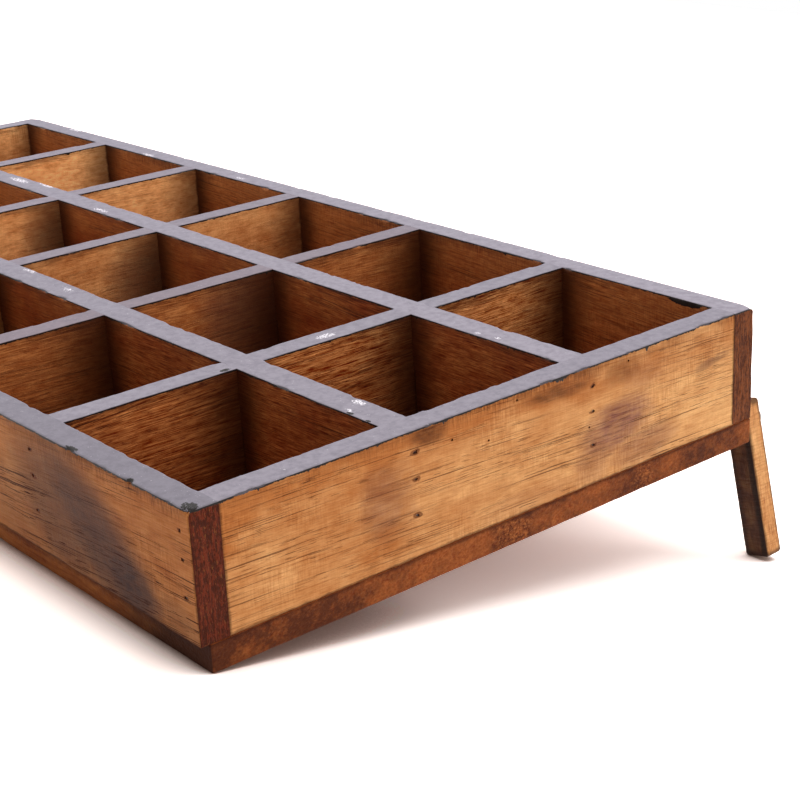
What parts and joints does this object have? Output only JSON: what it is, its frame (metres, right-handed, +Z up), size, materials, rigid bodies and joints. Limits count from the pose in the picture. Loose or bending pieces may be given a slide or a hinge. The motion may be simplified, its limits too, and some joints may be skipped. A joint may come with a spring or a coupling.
{
  "type": "compartment tray",
  "caption": "Sloping wooden compartment tray: nailed open-top box with a notched divider grid, bottom panel and two swing-out back legs that prop it up",
  "frame": {"origin": "on the table plane, under the middle of the standing tray's bounding box", "axes": "+Z up from the table, +Y along the tray's length from the near end to the far end, +X from the low front to the raised back"},
  "size_m": [0.2516, 0.5126, 0.0917],
  "materials": {
    "stained_frame_wood": "brown stain rubbed thin, smoky dark patches, top edges painted black satin",
    "stained_divider_wood": "dark red-brown stain, top edges painted black satin",
    "panel_wood": "dark red-brown stain, rough sawn edge",
    "leg_wood": "brown stain, dark on the inner face",
    "brad_steel": "dark oxidised steel",
    "screw_steel": "dull zinc plating"
  },
  "bodies": {
    "tray": {"front_side_board": "stained_frame_wood", "back_side_board": "stained_frame_wood", "near_end_board": "stained_frame_wood", "far_end_board": "stained_frame_wood", "front_long_divider": "stained_divider_wood", "back_long_divider": "stained_divider_wood", "cross_divider_1": "stained_divider_wood", "cross_divider_2": "stained_divider_wood", "cross_divider_3": "stained_divider_wood", "cross_divider_4": "stained_divider_wood", "cross_divider_5": "stained_divider_wood", "bottom_panel": "panel_wood", "front_brads": "brad_steel", "back_brads": "brad_steel", "near_end_brads": "brad_steel", "far_end_brads": "brad_steel", "panel_brads": "brad_steel", "near_leg_screw": "screw_steel", "far_leg_screw": "screw_steel"},
    "near_leg": {"near_leg": "leg_wood"},
    "far_leg": {"far_leg": "leg_wood"}
  },
  "joints": [
    {"name": "near_leg_swing", "type": "hinge", "parent": "tray", "child": "near_leg", "pos_m": [0.10866, -0.2407, 0.04828], "axis": [0.9818, 0, 0.19], "range_deg": [0, 102.6]},
    {"name": "far_leg_swing", "type": "hinge", "parent": "tray", "child": "far_leg", "pos_m": [0.10866, 0.2407, 0.04828], "axis": [-0.9818, 0, -0.19], "range_deg": [0, 102.6]}
  ]
}
